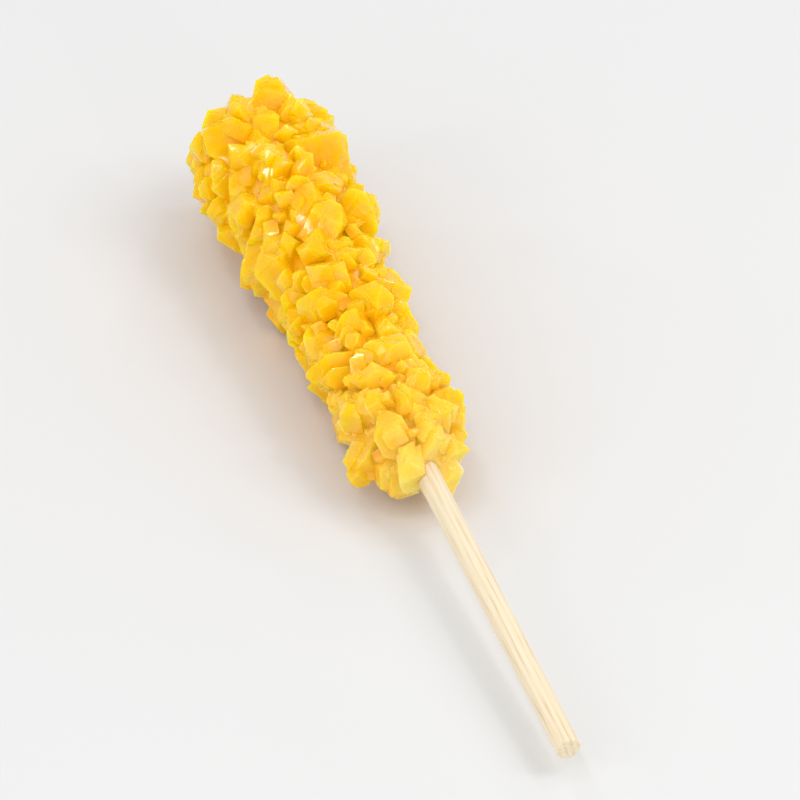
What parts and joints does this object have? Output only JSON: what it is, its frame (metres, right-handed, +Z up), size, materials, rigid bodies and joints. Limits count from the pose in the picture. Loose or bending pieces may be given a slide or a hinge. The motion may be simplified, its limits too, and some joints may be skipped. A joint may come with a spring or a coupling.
{
  "type": "rock candy stick",
  "caption": "Rock candy stick lying on its side: a fused club of angular yellow sugar crystals, fuller at the tip, grown on a round wooden stick.",
  "frame": {"origin": "middle of the part's box, on the surface that it lies on", "axes": "+Y along the stick towards the candy's tip, +Z up from the surface, +X to the side"},
  "size_m": [0.0278, 0.1692, 0.0275],
  "materials": {
    "sugar": "translucent golden yellow sugar crystals with glossy faces",
    "birch": "pale smooth birch, unvarnished"
  },
  "bodies": {
    "root": {"candy": "sugar", "stick": "birch"}
  },
  "joints": []
}
